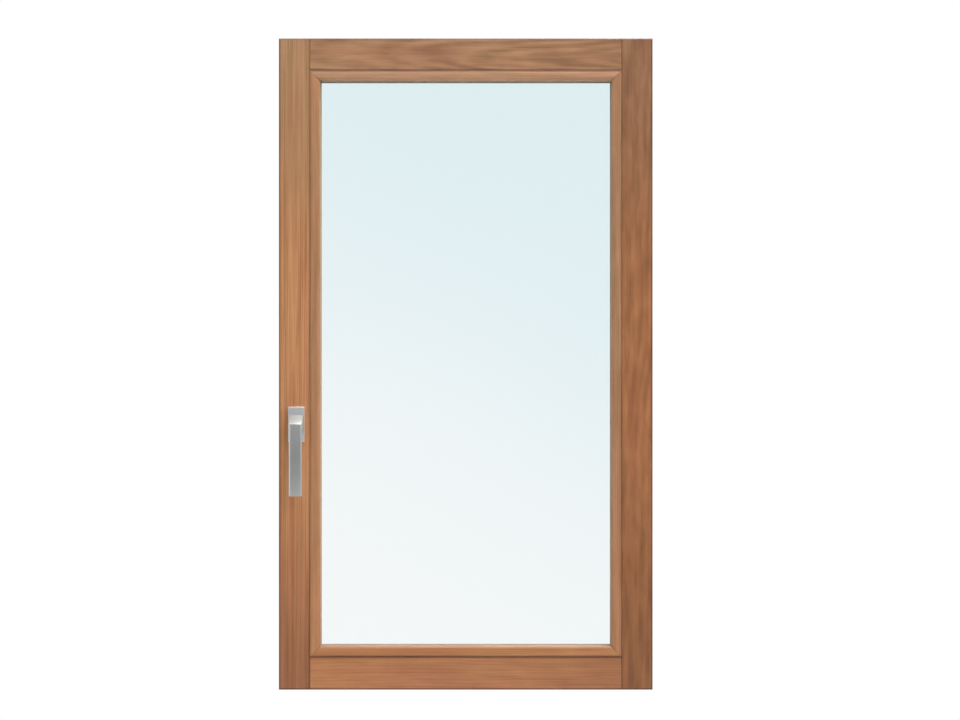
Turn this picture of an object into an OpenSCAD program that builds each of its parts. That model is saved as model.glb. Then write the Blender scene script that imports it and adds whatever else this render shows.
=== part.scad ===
// Glazed timber window sash with a lever handle and an edge espagnolette.
// Millimetres. +Z is up, the room is on the -Y side, the hinges are on the +X side.
// The origin is the mouth of the lower hinge bore.

/* [Sash] */
// Overall width of the sash
sash_w = 700; // [560:10:900]
// Overall height of the sash
sash_h = 1220; // [1000:10:1500]
// Thickness of the timber
timber_t = 68; // [66:1:82]
// Face width of a stile, to the glazing bead
stile_face = 58; // [55:1:76]
// Face width of the top rail, to the glazing bead
top_face = 60; // [52:1:76]
// Face width of the bottom rail, to the glazing bead
bottom_face = 62; // [54:1:90]
// Width and thickness of the flange that laps the frame
flange = 18; // [16:1:20]
// Rounding of the outer arrises
outer_round = 3; // [1:0.5:5]
// Easing of the arrises at a joint or a bead
joint_ease = 1.8; // [0.6:0.2:2]
// Thickness of each of the two tenons of a corner
tenon_t = 12; // [10:0.5:13]

/* [Glazing] */
// Width of a glazing bead
bead_w = 20; // [18:0.5:27]
// Depth of a glazing bead
bead_d = 19; // [16:1:21]
// Rounding of the bead's inner arris
bead_round = 8; // [2:0.5:9]
// Thickness of one pane
pane_t = 4; // [3:0.5:6]
// Gap between the panes
pane_gap = 16; // [10:1:18]
// Thickness of the glazing tape on the room side
inner_tape = 3; // [2:0.5:4]
// Gap between the glass edge and the rebate
edge_gap = 5; // [3:0.5:6]
// Height of the spacer bar
spacer_h = 7; // [6:0.5:8]
// Length of a setting block
block_l = 100; // [60:5:120]

/* [Handle] */
// Width of the rosette
rosette_w = 30; // [28:1:34]
// Height of the rosette
rosette_h = 66; // [64:1:72]
// Depth of the rosette
rosette_d = 11; // [10:0.5:14]
// Wall of the rosette cover
cover_wall = 1.2; // [0.8:0.1:1.6]
// Width of the lever's grip
lever_w = 24; // [18:0.5:26]
// Thickness of the lever's grip
lever_t = 12; // [8:0.5:14]
// Reach of the lever below the spindle
lever_l = 133; // [110:1:150]
// Stand-off of the lever's front from the sash
lever_out = 56; // [48:1:64]
// Width of the lever's neck at the rosette
neck_w = 28.5; // [26:0.5:30]
// Height of the spindle above the foot of the sash
handle_z = 497; // [420:1:560]
// Side of the square spindle
spindle_a = 7; // [7:1:8]
// Distance between the two handle screws
screw_gap = 43; // [43:1:43]

/* [Espagnolette] */
// Distance from the faceplate to the spindle
backset = 15; // [15:0.5:20]
// Width of the faceplate
plate_w = 16; // [16:1:20]
// Thickness of the faceplate
plate_t = 2; // [1.5:0.25:2.5]
// Width of the drive rod
rod_w = 10; // [9.5:0.5:11]
// Thickness of the drive rod
rod_t = 2.6; // [2.1:0.1:2.8]
// Teeth on the follower's full circle
follower_teeth = 16; // [16:1:18]
// Diameter of a locking roller
roller_d = 10; // [9:0.5:11]
// Length of a locking roller
roller_l = 7; // [5:0.5:8]

/* [Hinge side] */
// Height of a hinge bore from the sash's end
hinge_z = 150; // [110:5:250]
// Diameter of a hinge bore
hinge_bore_d = 7; // [6:0.5:8]
// Depth of a hinge bore
hinge_bore_l = 40; // [30:1:45]

/* [Clearances] */
// Radial gap of a shaft that turns in its bore
run_gap = 0.05; // [0.03:0.01:0.09]
// Gap between pieces that pass each other
pass_gap = 0.3; // [0.2:0.05:0.4]
// Gap around a piece in its timber pocket
pocket_gap = 0.4; // [0.2:0.1:0.6]

/* [Hidden] */
$fn = 48;
eps = 0.01;
far = 200;

// Sash section, counted inwards from the sash's edge and back from the room face
lip_in = stile_face + bead_w;
pane_in_y = bead_d + inner_tape;
pane_out_y = pane_in_y + pane_t + pane_gap;
glass_back = pane_out_y + pane_t;
outer_tape = 4;
lip_y = glass_back + outer_tape;
tenon_y = [flange + 2, lip_y - tenon_t];
opening_w = sash_w - 2 * stile_face;
opening_h = sash_h - top_face - bottom_face;

// Gasket groove in the back of the flange
gasket_u = flange - 6;
gasket_w = 4;
gasket_deep = 5;

// Hardware groove in the rebate edge of the handle stile
groove_y = flange + 13;
plate_u = flange;
rod_u = plate_u + plate_t + 0.2;
rod_back = rod_u + rod_t;
groove_w = rod_w + 2;
groove_u = rod_back + 0.5;
plate_z0 = 40;
plate_z1 = sash_h - 40;
spindle_u = flange + backset;

// Rack and follower, which roll on a line through the middle of the rod
pitch_u = rod_u + rod_t / 2;
pitch_r = spindle_u - pitch_u;
rack_pitch = 2 * PI * pitch_r / follower_teeth;
stroke = pitch_r * PI / 2;
slot_travel = ceil(stroke * 10) / 10;
last_tooth = ceil(follower_teeth / 4) + 1;
pressure = 20;
base_r = pitch_r * cos(pressure);
tip_r = pitch_r + 1.0;
root_r = spindle_u - rod_back - pass_gap;
tooth_play = 0.1;
tooth_w = 5;
window_w = tooth_w + 0.6;
hub_r = spindle_a + 0.2;
hub_l = 11.2;

// Gear case
case_half_h = 42;
case_u0 = rod_back + 0.4;
case_u1 = spindle_u + tip_r + 2.1;
case_d = rod_w + 1.6;
case_y0 = groove_y - case_d / 2;
post_z = 36;
rivet_r = 1.5;
rivet_u = case_u1 - 3.2;
rivet_z = [14, 30];
handle_screw_r = 2.5;

// Locking points and faceplate screws
pin_r = 3;
collar_r = 3.8;
cam_slot_r = collar_r + 0.2;
case_z0 = handle_z - case_half_h;
case_z1 = handle_z + case_half_h;
cam_low = plate_z0 + 85;
cam_high = plate_z1 - 85;
cam_mid = round(case_z1 + (cam_high - case_z1) * 0.29);
cam_z = [cam_low, cam_mid, cam_high];
upper_step = floor((cam_high - cam_mid) / 3);
plate_screw_r = 2;
rod_screw_z = [(cam_low + case_z0) / 2 - 12, (case_z1 + cam_mid) / 2 - 12,
               cam_mid + upper_step, cam_mid + 2 * upper_step];
plate_screw_z = concat([plate_z0 + 35], rod_screw_z, [plate_z1 - 35]);
rod_z0 = plate_z0 + 60;
rod_z1 = plate_z1 - 60;

// Handle
lug_r = 4.9;
lug_l = 6;
journal_r = 8;
journal_in = 1.2;
base_front = rosette_d - cover_wall - 0.6;
base_wall_y = 5.1;
clip_t = 1;
detent_y = 7;
detent_z1 = journal_r + 8;
ball_r = 1.5;
lever_back = rosette_d + 0.5;

// Sash coordinates: x from the handle edge, y from the room face, z from the foot
module placed() {
  translate([-sash_w, -flange / 2, -hinge_z]) children();
}

// What rounds a corner at the origin, to be taken away
module arris(r) {
  difference() {
    translate([-eps, -eps]) square(r + eps);
    translate([r, r]) circle(r);
  }
}

// A plain section (across, depth) laid along x instead of z
module along_x() {
  mirror([1, 0, -1]) children();
}

// A round bar along y, from y0 to y1
module rod_y(r, y0, y1) {
  translate([0, y1, 0]) rotate([90, 0, 0]) cylinder(r = r, h = y1 - y0);
}

// A round bar along x, from x0 to x1
module rod_x(r, x0, x1) {
  translate([x0, 0, 0]) rotate([0, 90, 0]) cylinder(r = r, h = x1 - x0);
}

// A flat outline in x and z, from y0 to y1
module plate_y(y0, y1) {
  translate([0, y1, 0]) rotate([90, 0, 0]) linear_extrude(y1 - y0) children();
}

// A slot with round ends along z, cut through in x
module slot_x(r, z0, z1, x0, x1) {
  for (z = [z0, z1]) translate([0, 0, z]) rod_x(r, x0, x1);
  translate([x0, -r, z0]) cube([x1 - x0, 2 * r, z1 - z0]);
}

// A square-cornered section with eased corners: w across, h high, centred
module rounded_rect(w, h, r) {
  square([w - 2 * r, h], center = true);
  square([w, h - 2 * r], center = true);
  for (sx = [-1, 1], sz = [-1, 1]) translate([sx * (w / 2 - r), sz * (h / 2 - r)]) circle(r);
}

// One side of a mitred ring: the section (across, depth) along z, cut at 45 degrees
module mitred_side(len, w) {
  intersection() {
    linear_extrude(len) children();
    plate_y(-far, far) polygon([[0, 0], [w, w], [w, len - w], [0, len]]);
  }
}

// Four mitred sides, inset from the sash's edges
module mitred_ring(inset, z0, z1, w) {
  translate([inset, 0, z0]) mitred_side(z1 - z0, w) children();
  translate([sash_w - inset, 0, z0]) mirror([1, 0, 0]) mitred_side(z1 - z0, w) children();
  translate([inset, 0, z0]) along_x() mitred_side(sash_w - 2 * inset, w) children();
  translate([inset, 0, z1]) mirror([0, 0, 1]) along_x()
    mitred_side(sash_w - 2 * inset, w) children();
}

// Section of a stile or rail: face is its width at the room side
module sash_section(face) {
  difference() {
    union() {
      square([face, lip_y]);
      translate([flange, 0]) square([face + bead_w - flange, timber_t]);
    }
    translate([-eps, flange]) square([flange + eps, far]);
    translate([face, -eps]) square([far, lip_y + eps]);
    arris(outer_round);
    translate([face, 0]) mirror([1, 0]) arris(joint_ease);
    translate([flange, timber_t]) mirror([0, 1]) arris(outer_round);
    translate([face + bead_w, timber_t]) mirror([1, 1]) mirror([1, -1]) arris(outer_round);
  }
}

// The ring-shaped groove in the back of the flange that holds the gasket
module gasket_groove() {
  outer = [sash_w - 2 * gasket_u, flange, sash_h - 2 * gasket_u];
  inner = outer - [2 * gasket_w, 0, 2 * gasket_w];
  difference() {
    translate([gasket_u, flange - gasket_deep, gasket_u]) cube(outer);
    translate([gasket_u + gasket_w, 0, gasket_u + gasket_w]) cube(inner + [0, far, 0]);
  }
}

// What the flange leaves free at the head and the foot of a stile
module stile_end_cuts() {
  for (end = [0, 1]) translate([0, 0, end * sash_h]) mirror([0, 0, end]) {
    translate([-eps, flange, -eps]) cube([far, far, flange + eps]);
    along_x() translate([0, 0, -eps]) linear_extrude(far) arris(outer_round);
  }
}

// The two slots that take a rail's tenons
module tenon_slots(z0, z1) {
  for (y = tenon_y) translate([flange - eps, y, z0])
    cube([stile_face - flange + 2 * eps, tenon_t, z1 - z0]);
}

module plain_stile() {
  difference() {
    linear_extrude(sash_h) sash_section(stile_face);
    stile_end_cuts();
    tenon_slots(flange - eps, bottom_face);
    tenon_slots(sash_h - top_face, sash_h - flange + eps);
    gasket_groove();
  }
}

module plain_rail(face) {
  difference() {
    along_x() {
      translate([0, 0, stile_face]) linear_extrude(opening_w) intersection() {
        sash_section(face);
        square([far, lip_y]);
      }
      translate([0, 0, lip_in]) linear_extrude(sash_w - 2 * lip_in) sash_section(face);
      for (y = tenon_y) translate([flange, y, flange])
        cube([face - flange, tenon_t, sash_w - 2 * flange]);
    }
    gasket_groove();
    for (right = [0, 1]) translate([right * sash_w, 0, 0]) mirror([right, 0, 0])
      translate([stile_face, 0, -eps]) linear_extrude(far) arris(joint_ease);
  }
}

// Pocket and holes for the espagnolette and the handle
module hardware_pockets() {
  translate([plate_u - eps, groove_y - plate_w / 2 - 0.1, plate_z0])
    cube([plate_t + eps, plate_w + 0.2, plate_z1 - plate_z0]);
  translate([plate_u, groove_y - groove_w / 2, plate_z0 + 10])
    cube([groove_u - plate_u, groove_w, plate_z1 - plate_z0 - 20]);
  translate([plate_u, groove_y - groove_w / 2, case_z0 - pocket_gap])
    cube([case_u1 + pocket_gap - plate_u, groove_w, 2 * (case_half_h + pocket_gap)]);
  translate([spindle_u, 0, handle_z]) {
    rod_y(6, -eps, groove_y);
    for (s = [-1, 1]) translate([0, 0, s * screw_gap / 2]) rod_y(5, -eps, groove_y);
  }
}

module stile_handle() {
  color("peru") placed() difference() {
    plain_stile();
    hardware_pockets();
  }
}

module stile_hinge() {
  color("peru") placed() difference() {
    translate([sash_w, 0, 0]) mirror([1, 0, 0]) plain_stile();
    for (z = [hinge_z, sash_h - hinge_z]) translate([0, flange / 2, z])
      rod_x(hinge_bore_d / 2, sash_w - hinge_bore_l, sash_w + 1);
  }
}

module rail_top() {
  color("burlywood") placed() difference() {
    translate([0, 0, sash_h]) mirror([0, 0, 1]) plain_rail(top_face);
    hardware_pockets();
  }
}

module rail_bottom() {
  vent_l = 20;
  vent_w = 4;
  drip_w = 4;
  color("burlywood") placed() difference() {
    plain_rail(bottom_face);
    for (k = [1 : 3]) translate([k * sash_w / 4 - vent_l / 2, lip_y - 2 - vent_w, 0])
      cube([vent_l, vent_w, far]);
    translate([0, timber_t - 3 * drip_w, flange - eps]) cube([sash_w, drip_w, drip_w]);
    hardware_pockets();
  }
}

module bead_section() {
  difference() {
    square([bead_w, bead_d]);
    arris(joint_ease);
    translate([bead_w, 0]) mirror([1, 0]) arris(bead_round);
  }
}

module bead_left() {
  color("tan") placed() translate([stile_face, 0, bottom_face])
    mitred_side(opening_h, bead_w) bead_section();
}

module bead_right() {
  color("tan") placed() translate([sash_w - stile_face, 0, bottom_face]) mirror([1, 0, 0])
    mitred_side(opening_h, bead_w) bead_section();
}

module bead_bottom() {
  color("tan") placed() translate([stile_face, 0, bottom_face]) along_x()
    mitred_side(opening_w, bead_w) bead_section();
}

module bead_top() {
  color("tan") placed() translate([stile_face, 0, sash_h - top_face]) mirror([0, 0, 1])
    along_x() mitred_side(opening_w, bead_w) bead_section();
}

// A panel pin driven along +x through a bead into the timber
module brad() {
  brad_l = bead_w + 13;
  rod_x(0.7, -13, brad_l - 13);
  rod_x(1.1, bead_w - 0.7, bead_w + 0.1);
}

module bead_brads() {
  y = bead_d * 0.55;
  color("silver") placed() {
    for (k = [0 : 3]) {
      z = bottom_face + opening_h * (k + 0.5) / 4;
      translate([stile_face, y, z]) brad();
      translate([sash_w - stile_face, y, z]) mirror([1, 0, 0]) brad();
    }
    for (k = [0 : 2]) {
      x = stile_face + opening_w * (k + 0.5) / 3;
      translate([x, y, bottom_face]) along_x() brad();
      translate([x, y, sash_h - top_face]) mirror([0, 0, 1]) along_x() brad();
    }
  }
}

// A flat box inside the glazing rebate, inset by in, from y0 to y1
module rebate_box(in, y0, y1) {
  translate([stile_face + in, y0, bottom_face + in])
    cube([opening_w - 2 * in, y1 - y0, opening_h - 2 * in]);
}

module pane_inner() {
  color("lightcyan", 0.4) placed() rebate_box(edge_gap, pane_in_y, pane_in_y + pane_t);
}

module pane_outer() {
  color("lightcyan", 0.4) placed() rebate_box(edge_gap, pane_out_y, glass_back);
}

sealant_h = 4.5;
spacer_in = edge_gap + sealant_h;
tube_wall = 0.5;
key_leg = 25;
spacer_y0 = pane_in_y + pane_t;

module edge_sealant() {
  color("dimgray") placed() difference() {
    rebate_box(edge_gap, spacer_y0, pane_out_y);
    rebate_box(spacer_in, spacer_y0 - 1, pane_out_y + 1);
  }
}

// The four straight lengths between the spacer's corners, as (inset, end gap, height)
module spacer_runs(wall, end) {
  h = spacer_h - 2 * wall;
  d = pane_gap - 2 * wall;
  x0 = stile_face + spacer_in;
  z0 = bottom_face + spacer_in;
  w = opening_w - 2 * spacer_in;
  l = opening_h - 2 * spacer_in;
  for (x = [x0 + wall, x0 + w - spacer_h + wall]) translate([x, spacer_y0 + wall, z0 + end])
    cube([h, d, l - 2 * end]);
  for (z = [z0 + wall, z0 + l - spacer_h + wall]) translate([x0 + end, spacer_y0 + wall, z])
    cube([w - 2 * end, d, h]);
}

module spacer_tubes() {
  color("silver") placed() difference() {
    spacer_runs(0, spacer_h);
    spacer_runs(tube_wall, spacer_h - 1);
  }
}

module desiccant() {
  color("wheat") placed() spacer_runs(tube_wall + 0.05, spacer_h + key_leg + 1);
}

module spacer_corners() {
  leg = spacer_h - 2 * tube_wall - 0.1;
  inner = tube_wall + 0.05;
  color("gray") placed() for (right = [0, 1], top = [0, 1])
    translate([right * sash_w, spacer_y0, top * (sash_h + bottom_face - top_face)])
      mirror([right, 0, 0]) mirror([0, 0, top])
        translate([stile_face + spacer_in, 0, bottom_face + spacer_in]) {
          cube([spacer_h, pane_gap, spacer_h]);
          translate([inner, inner, inner])
            cube([leg, pane_gap - 2 * inner, spacer_h + key_leg - inner]);
          translate([inner, inner, inner])
            cube([spacer_h + key_leg - inner, pane_gap - 2 * inner, leg]);
        }
}

// A block in the edge gap, against the rebate, block_l long along x
module glazing_block() {
  translate([-block_l / 2, pane_in_y, 0]) cube([block_l, glass_back - pane_in_y, edge_gap]);
}

module setting_blocks() {
  color("darkslategray") placed() for (x = [0.2, 0.8])
    translate([stile_face + x * opening_w, 0, bottom_face]) glazing_block();
}

module location_blocks() {
  color("steelblue") placed() {
    for (x = [0.2, 0.8])
      translate([stile_face + x * opening_w, 0, sash_h - top_face - edge_gap]) glazing_block();
    for (z = [0.16, 0.84], x = [stile_face, sash_w - stile_face - edge_gap])
      translate([x, 0, bottom_face + z * opening_h]) along_x() glazing_block();
  }
}

// A glazing tape ring between y0 and y1, hidden behind the bead
module glazing_tape(y0, y1) {
  difference() {
    rebate_box(bead_w - 13, y0, y1);
    rebate_box(bead_w - 0.5, y0 - 1, y1 + 1);
  }
}

module glazing_tape_inner() {
  color("black") placed() glazing_tape(bead_d, pane_in_y);
}

module glazing_tape_outer() {
  color("black") placed() glazing_tape(glass_back, lip_y);
}

module sash_gasket() {
  stem = gasket_w - 0.4;
  bulb_r = 3;
  color("saddlebrown") placed()
    mitred_ring(gasket_u - 1, gasket_u - 1, sash_h - gasket_u + 1, 2 * bulb_r + 0.2) {
      translate([1.2, flange - gasket_deep + 0.3]) square([stem, gasket_deep]);
      intersection() {
        translate([bulb_r + 0.05, flange]) circle(bulb_r);
        translate([0, flange + 0.1]) square([2 * bulb_r + 0.2, bulb_r]);
      }
    }
}

module faceplate() {
  color("silver") placed() difference() {
    translate([plate_u, groove_y - plate_w / 2, plate_z0 + 0.2])
      cube([plate_t, plate_w, plate_z1 - plate_z0 - 0.4]);
    for (z = cam_z) translate([0, groove_y, 0])
      slot_x(cam_slot_r, z - slot_travel - 0.2, z + 0.2, plate_u - 1, rod_u);
    for (z = plate_screw_z) translate([plate_u, groove_y, z]) csk_hole(plate_screw_r + 0.1);
    for (s = [-1, 1]) translate([plate_u, groove_y, handle_z + s * post_z])
      csk_hole(plate_screw_r + 0.1);
  }
}

// Countersunk hole along x with its mouth at the origin
module csk_hole(r) {
  rod_x(r, -1, plate_t + 1);
  translate([-eps, 0, 0]) rotate([0, 90, 0])
    cylinder(r1 = r + 1.8, r2 = r, h = 1.6);
}

// Countersunk screw along x with its head at the origin
module csk_screw(r, len, point) {
  difference() {
    union() {
      rotate([0, 90, 0]) cylinder(r1 = r + 1.7, r2 = r, h = 1.6);
      rod_x(r, 1.5, len - point);
      if (point > 0) translate([len - point, 0, 0]) rotate([0, 90, 0])
        cylinder(r1 = r, r2 = 0.4, h = point);
    }
    translate([-eps, -0.4, -r]) cube([1, 0.8, 2 * r]);
    translate([-eps, -r, -0.4]) cube([1, 2 * r, 0.8]);
  }
}

module plate_screws() {
  color("gainsboro") placed() for (z = plate_screw_z) translate([plate_u, groove_y, z])
    csk_screw(plate_screw_r, 30, 5);
}

module case_screws() {
  color("gainsboro") placed() for (s = [-1, 1])
    translate([plate_u, groove_y, handle_z + s * post_z]) csk_screw(plate_screw_r, 16, 0);
}

// The rack's window for one tooth, wider towards the follower
module rack_window() {
  slope = tan(pressure);
  near = rack_pitch / 4 + (rod_back - pitch_u) * slope + tooth_play;
  away = rack_pitch / 4 - (pitch_u - rod_u) * slope + tooth_play;
  translate([0, window_w / 2, 0]) rotate([90, 0, 0]) linear_extrude(window_w)
    polygon([[rod_u - eps, -away], [rod_back + eps, -near],
             [rod_back + eps, near], [rod_u - eps, away]]);
}

module drive_rod() {
  color("lightsteelblue") placed() difference() {
    translate([rod_u, groove_y - rod_w / 2, rod_z0]) cube([rod_t, rod_w, rod_z1 - rod_z0]);
    for (k = [-1 : last_tooth]) translate([0, groove_y, handle_z + k * rack_pitch]) rack_window();
    for (z = cam_z) translate([0, groove_y, z]) rod_x(pin_r + 0.02, rod_u - 1, rod_back + 1);
    for (z = concat(rod_screw_z, [handle_z - post_z, handle_z + post_z]))
      translate([0, groove_y, 0])
        slot_x(plate_screw_r + 0.6, z - 0.4, z + slot_travel + 0.4, rod_u - 1, rod_back + 1);
  }
}

roller_u1 = plate_u - 0.4;
roller_u0 = roller_u1 - roller_l;

module cam_pins() {
  head_t = 1.2;
  color("silver") placed() for (z = cam_z) translate([0, groove_y, z]) {
    rod_x(pin_r, roller_u0 - 0.3, rod_back);
    rod_x(collar_r, roller_u1 + 0.2, rod_u);
    rod_x(collar_r, roller_u0 - 0.3 - head_t, roller_u0 - 0.3);
  }
}

module cam_roller(z) {
  color("gainsboro") placed() translate([0, groove_y, z]) difference() {
    rod_x(roller_d / 2, roller_u0, roller_u1);
    rod_x(pin_r + run_gap, roller_u0 - 1, roller_u1 + 1);
  }
}

module cam_roller_low() {
  cam_roller(cam_z[0]);
}

module cam_roller_mid() {
  cam_roller(cam_z[1]);
}

module cam_roller_high() {
  cam_roller(cam_z[2]);
}

// One half of the gear case, from y0 to y1
module gear_case_half(y0, y1) {
  difference() {
    translate([case_u0, y0, handle_z - case_half_h])
      cube([case_u1 - case_u0, y1 - y0, 2 * case_half_h]);
    translate([spindle_u, groove_y, handle_z]) {
      rod_y(hub_r + run_gap, -far, far);
      rod_y(tip_r + 0.6, -tooth_w / 2 - 0.2, tooth_w / 2 + 0.2);
      for (s = [-1, 1]) translate([0, 0, s * screw_gap / 2])
        rod_y(handle_screw_r + run_gap, -far, far);
    }
    for (s = [-1, 1], z = rivet_z) translate([rivet_u, 0, handle_z + s * z])
      rod_y(rivet_r + run_gap, 0, timber_t);
    for (s = [-1, 1]) translate([0, groove_y, handle_z + s * post_z])
      rod_x(plate_screw_r + run_gap, plate_u, plate_u + 17);
  }
}

module gear_case_front() {
  color("darkgray") placed() gear_case_half(case_y0, groove_y);
}

module gear_case_back() {
  color("gray") placed() gear_case_half(groove_y, case_y0 + case_d);
}

module case_rivets() {
  color("silver") placed() for (s = [-1, 1], z = rivet_z)
    translate([rivet_u, 0, handle_z + s * z]) rod_y(rivet_r, case_y0, case_y0 + case_d);
}

// Half the angle of a follower tooth at radius r, in degrees
function involute(a) = tan(a) * 180 / PI - a;
function tooth_half(r) = 90 / follower_teeth + involute(pressure)
  - involute(acos(base_r / r)) - tooth_play / pitch_r * 180 / PI;
function on_circle(r, a) = [r * cos(a), r * sin(a)];

module follower_tooth() {
  steps = 5;
  flank = [for (i = [0 : steps]) base_r + eps + (tip_r - base_r - eps) * i / steps];
  foot = root_r - 1;
  polygon(concat([on_circle(foot, tooth_half(flank[0]))],
                 [for (i = [0 : steps]) on_circle(flank[i], tooth_half(flank[i]))],
                 [for (i = [steps : -1 : 0]) on_circle(flank[i], -tooth_half(flank[i]))],
                 [on_circle(foot, -tooth_half(flank[0]))]));
}

module follower() {
  square_hole = spindle_a + 0.1;
  color("goldenrod") placed() translate([spindle_u, groove_y, handle_z]) difference() {
    union() {
      plate_y(-tooth_w / 2, tooth_w / 2) {
        circle(root_r);
        for (k = [-1 : last_tooth]) rotate(180 - k * 360 / follower_teeth) follower_tooth();
      }
      rod_y(hub_r, -hub_l / 2, hub_l / 2);
    }
    plate_y(-far, far) square(square_hole, center = true);
  }
}

// Rosette pieces lie in front of the room face, at negative y
module at_spindle() {
  placed() translate([spindle_u, 0, handle_z]) children();
}

module rosette_base() {
  base_w = rosette_w - 2 * cover_wall - 0.4;
  base_h = rosette_h - 2 * cover_wall - 0.4;
  color("dimgray") at_spindle() difference() {
    union() {
      plate_y(-base_front, 0) rounded_rect(base_w, base_h, 1);
      for (s = [-1, 1]) translate([0, 0, s * screw_gap / 2]) rod_y(lug_r, -1, lug_l);
    }
    rod_y(journal_r + run_gap, -far, far);
    rod_y(journal_r + 3, -base_wall_y, 1);
    for (s = [-1, 1]) {
      translate([0, 0, s * screw_gap / 2]) {
        rod_y(handle_screw_r + 0.15, -far, far);
        translate([0, -base_front + 2.6, 0]) rotate([90, 0, 0])
          cylinder(r1 = handle_screw_r + 0.15, r2 = handle_screw_r + 2.9, h = 2.6 + eps);
      }
      mirror([0, 0, s > 0 ? 0 : 1]) translate([0, -detent_y, 0])
        cylinder(r = ball_r + 0.1, h = detent_z1);
    }
  }
}

module rosette_cover() {
  color("silver") at_spindle() difference() {
    plate_y(-rosette_d, 0) rounded_rect(rosette_w, rosette_h, 1.6);
    plate_y(-rosette_d + cover_wall, 1)
      rounded_rect(rosette_w - 2 * cover_wall, rosette_h - 2 * cover_wall, 1);
    rod_y(journal_r + pass_gap, -far, far);
  }
}

module handle_screws() {
  head_y = -base_front + 0.2;
  recess = 2.2;
  color("lightgray") at_spindle() for (s = [-1, 1]) translate([0, 0, s * screw_gap / 2])
    difference() {
      union() {
        rod_y(handle_screw_r, head_y + 2.4, groove_y + case_d / 2 - 0.2);
        translate([0, head_y + 2.5, 0]) rotate([90, 0, 0])
          cylinder(r1 = handle_screw_r, r2 = handle_screw_r + 2.5, h = 2.5);
      }
      translate([-recess, head_y - eps, -0.5]) cube([2 * recess, 1.5, 1]);
      translate([-0.5, head_y - eps, -recess]) cube([1, 1.5, 2 * recess]);
    }
}

ball_z = journal_r + ball_r + pass_gap;

module detent_balls() {
  color("silver") at_spindle() for (s = [-1, 1])
    translate([0, -detent_y, s * ball_z]) sphere(ball_r, $fn = 32);
}

// The outer form of the small coil springs behind the balls
module detent_springs() {
  spring_r = ball_r - 0.1;
  wire_d = 0.5;
  z0 = ball_z + ball_r + 0.1;
  color("gray") at_spindle() for (s = [0, 1]) mirror([0, 0, s]) difference() {
    translate([0, -detent_y, z0]) cylinder(r = spring_r, h = detent_z1 - 0.2 - z0);
    translate([0, -detent_y, z0 - 1]) cylinder(r = spring_r - wire_d, h = far);
  }
}

// Outline of the lever seen from its side, as (distance out, height)
module lever_side() {
  bend_r = 12;
  front_top = 1.4;
  neck_top = 17;
  neck_low = -14;
  grip_back = lever_out - lever_t;
  difference() {
    polygon([[lever_back, neck_low], [lever_back, neck_top], [lever_back + 7, neck_top],
             [lever_out, front_top], [lever_out, -lever_l], [grip_back, -lever_l],
             [grip_back, neck_low - bend_r], [grip_back - bend_r, neck_low]]);
    translate([grip_back - bend_r, neck_low - bend_r]) circle(bend_r);
  }
}

// Outline of the lever seen from above, as (across, distance out)
module lever_top() {
  bevel = 2.6;
  half = lever_w / 2;
  flare_out = lever_out - lever_t - 6;
  polygon([[-neck_w / 2, lever_back], [neck_w / 2, lever_back], [half, flare_out],
           [half, lever_out - bevel], [half - bevel, lever_out],
           [-half + bevel, lever_out], [-half, lever_out - bevel], [-half, flare_out]]);
}

module lever() {
  hole = spindle_a + 0.1;
  color("silver") at_spindle() difference() {
    union() {
      intersection() {
        translate([-far / 2, 0, 0]) mirror([0, 1, 0]) rotate([90, 0, 90])
          linear_extrude(far) lever_side();
        translate([0, 0, -far]) mirror([0, 1, 0]) linear_extrude(2 * far) lever_top();
      }
      rod_y(journal_r, -lever_back - 1, -journal_in);
    }
    translate([-hole / 2, -rosette_d - 8, -hole / 2]) cube([hole, far, hole]);
    difference() {
      rod_y(journal_r + 1, -base_wall_y + 0.05, -base_wall_y + 0.15 + clip_t);
      rod_y(journal_r - 1, -far, far);
    }
    for (a = [0 : 90 : 270]) rotate([0, a, 0]) translate([0, -detent_y, ball_z - 0.7])
      sphere(ball_r, $fn = 32);
    translate([0, -2.4, 0]) rod_x(1.27, -far, far);
  }
}

module bearing_washer() {
  color("black") at_spindle() difference() {
    rod_y(journal_r + 4, -lever_back, -rosette_d - 0.1);
    rod_y(journal_r + pass_gap, -far, far);
  }
}

// An open ring that snaps into the groove of the lever's journal
module retaining_ring() {
  gap = 8;
  color("dimgray") at_spindle() difference() {
    rod_y(journal_r + 2, -base_wall_y + 0.1, -base_wall_y + 0.1 + clip_t);
    rod_y(journal_r - 0.9, -far, far);
    translate([-gap / 2, -far, 0]) cube([gap, 2 * far, far]);
  }
}

module spindle() {
  back_y = groove_y + case_d / 2 - 0.2;
  front_y = -rosette_d - 7;
  color("darkgray") at_spindle() difference() {
    translate([-spindle_a / 2, front_y, -spindle_a / 2])
      cube([spindle_a, back_y - front_y, spindle_a]);
    translate([0, -2.4, 0]) rod_x(1.27, -far, far);
  }
}

module spindle_pin() {
  color("silver") at_spindle() translate([0, -2.4, 0])
    rod_x(1.25, -journal_r + 0.3, journal_r - 0.3);
}

stile_handle();
stile_hinge();
rail_top();
rail_bottom();
bead_left();
bead_right();
bead_top();
bead_bottom();
bead_brads();
pane_inner();
pane_outer();
spacer_tubes();
spacer_corners();
desiccant();
edge_sealant();
setting_blocks();
location_blocks();
glazing_tape_inner();
glazing_tape_outer();
sash_gasket();
faceplate();
plate_screws();
drive_rod();
cam_pins();
cam_roller_low();
cam_roller_mid();
cam_roller_high();
gear_case_front();
gear_case_back();
case_rivets();
case_screws();
follower();
rosette_base();
rosette_cover();
handle_screws();
detent_balls();
detent_springs();
lever();
bearing_washer();
retaining_ring();
spindle();
spindle_pin();
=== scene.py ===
"""Looks of the glazed timber sash: varnished timber, double glazing, satin lever handle and
the edge bolt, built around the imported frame.  Metres; +Z is up and the room is on the -Y side."""
import math

import bmesh
import bpy
from mathutils import Matrix, Vector


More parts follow.
